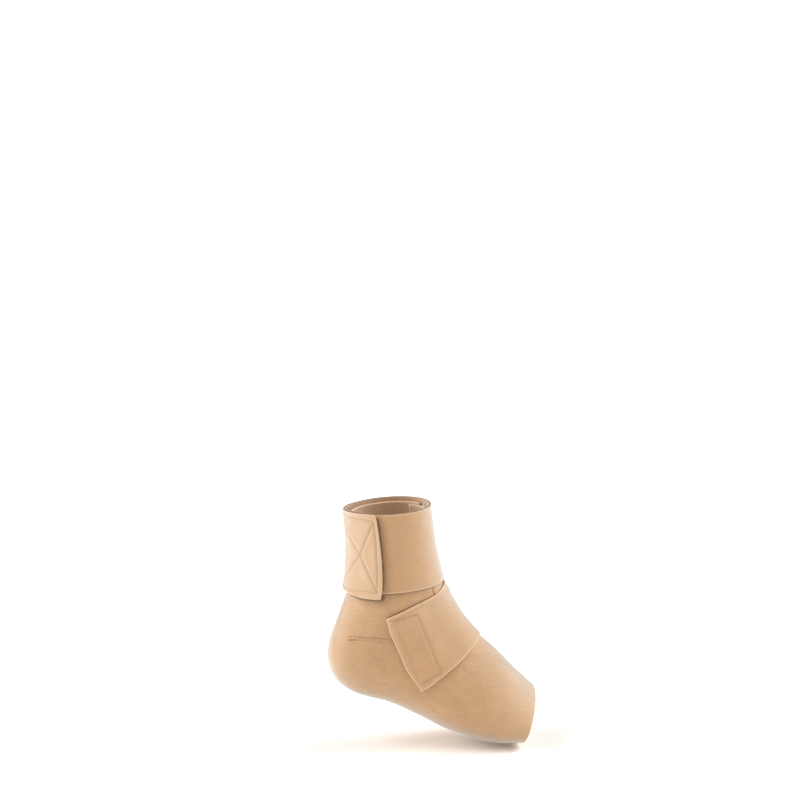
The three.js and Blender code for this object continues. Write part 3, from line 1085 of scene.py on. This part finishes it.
def sew(name, stitches, thread, finish):
    """One mesh of many stitches; each is its two ends and the outward direction."""
    places, faces = [], []
    for start, end, outward in stitches:
        along = (end - start).normalized()
        across = outward.cross(along).normalized()
        turn = np.array([along * (end - start).length, across * thread, along.cross(across) * thread])
        base = len(places) * len(grain_points)
        places.append(grain_points @ turn + np.array((start + end) / 2))
        faces += [[base + number for number in face] for face in grain_faces]
    mesh = bpy.data.meshes.new(name)
    mesh.from_pydata(np.concatenate(places).tolist(), [], faces)
    mesh.materials.append(FINISHES[finish])
    piece = bpy.data.objects.new(name, mesh)
    bpy.context.scene.collection.objects.link(piece)
    work_on(piece)
    bpy.ops.object.mode_set(mode="EDIT")
    bpy.ops.mesh.select_all(action="SELECT")
    bpy.ops.mesh.normals_make_consistent(inside=False)
    bpy.ops.object.mode_set(mode="OBJECT")
    bpy.ops.object.shade_smooth()
    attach(piece, "root")
    print(name, len(stitches), "stitches")
    return piece


print("a stitch has", len(grain_faces), "faces")

# %% Helpers that set a row of stitches
ABOVE_SKIN = 2 * MM


def on_skin(skin, place, normal, lift):
    """A place moved onto the surface under it, and lifted a little."""
    found = skin.ray_cast(place + normal * ABOVE_SKIN, -normal)[0]
    return (place if found is None else found) + normal * lift


def plain_row(skin, line, lift, stitch, gap):
    """Stitches with small gaps along a line."""
    run = [0.0]
    for (a, _), (b, _) in zip(line, line[1:]):
        run.append(run[-1] + (b - a).length)
    count = max(1, int(round(run[-1] / (stitch + gap))))
    pitch = run[-1] / count
    made = []
    for number in range(count):
        ends = []
        for spot in (number * pitch + gap / 2, (number + 1) * pitch - gap / 2):
            at = min(range(len(run)), key=lambda n: abs(run[n] - spot))
            ends.append((on_skin(skin, *line[at], lift), line[at][1]))
        made.append((ends[0][0], ends[1][0], (ends[0][1] + ends[1][1]).normalized()))
    return made


def plain_rows(skin, lines, lift=0.10 * MM, stitch=1.7 * MM, gap=1.3 * MM):
    """The stitches of several plain rows."""
    return [made for line in lines for made in plain_row(skin, line, lift, stitch, gap)]


def rungs(skin, line, low, high, pitch, lean, lift):
    """Short stitches across a line, from one distance beside it to another, in mm."""
    low, high, pitch, lift = (size * MM for size in (low, high, pitch, lift))
    step = int(round(pitch / LINE_STEP))
    below, above = row_beside(line, low), row_beside(line, high)
    return [(on_skin(skin, *below[at], lift), on_skin(skin, *above[at + lean], lift), line[at][1])
            for at in range(0, len(line) - lean, step)]


strap_skin, band_skin, sleeve_skin = skin_of(strap), skin_of(band), skin_of(sleeve)
print("stitches on one row of the box:", len(plain_rows(strap_skin, [top_row])))

# %% [markdown]
# ## Sewing
# The strap's short rows are sewn with a strong dark thread and its long sides with
# a finer, paler one. The tab has the finest thread, drawn deep into the cloth. On
# the heel seam a pale thread crosses the line and a dark one runs along both sides
# of it. The bar at its end is sewn closer, with the dark thread outside. The dark
# thread's brown is partly its own colour and partly painted shade of the needle
# holes it lies in.

# %% Sew the boxes
STRONG_THREAD, FINE_THREAD, FINEST_THREAD = 0.75 * MM, 0.55 * MM, 0.42 * MM
TAB_GAP = 0.7 * MM

strap_thread = sew("strap_stitching", plain_rows(strap_skin, (top_row, low_row, *end_rows)),
                   STRONG_THREAD, "dark_thread_and_hole_shade")
strap_side_thread = sew("strap_side_stitching", plain_rows(strap_skin, (left_row, right_row)),
                        FINE_THREAD, "tab_thread")
band_thread = sew("band_stitching", plain_rows(band_skin, band_lines, gap=TAB_GAP),
                  FINEST_THREAD, "tab_thread")

# %% Sew the seams of the sleeve
BAR_POINTS = int(11 * MM / LINE_STEP)
PALE_THREAD, DARK_THREAD, BACK_THREAD = 0.95 * MM, 0.65 * MM, 0.50 * MM

pale_stitches, dark_stitches = [], []
for line in (heel_line, inner_line):
    bar, rest = line[:BAR_POINTS], line[BAR_POINTS:]
    # Part of the line, from and to beside it, pitch, points that it leans, lift.
    pale_rows = (
        (rest, -1.9, -0.1, 2.4, 0, 0.25),
        (bar, -0.7, 1.1, 2.4, 0, 0.25),
    )
    dark_rows = (
        (rest[3:], -2.2, -1.9, 2.4, 0, 0),
        (rest, 0.6, 1.3, 2.4, 3, 0.1),
        (bar[2:], 1.5, 2.2, 2.8, 2, 0.1),
        (bar[1:], -2.1, -1.3, 2.4, 4, 0.1),
        (bar[:1], -1.6, 0.6, 2, 0, 0.1),
    )
    pale_stitches += [made for row in pale_rows for made in rungs(sleeve_skin, *row)]
    dark_stitches += [made for row in dark_rows for made in rungs(sleeve_skin, *row)]
back_stitches = plain_rows(sleeve_skin, back_rows, lift=0.05 * MM, stitch=1.6 * MM, gap=0.8 * MM)

sleeve_thread = sew("sleeve_seams", pale_stitches, PALE_THREAD, "seam_thread")
back_thread = sew("back_seam", back_stitches, BACK_THREAD, "tab_thread")
sleeve_dark_thread = sew("sleeve_seam_rows", dark_stitches, DARK_THREAD, "dark_thread_and_hole_shade")
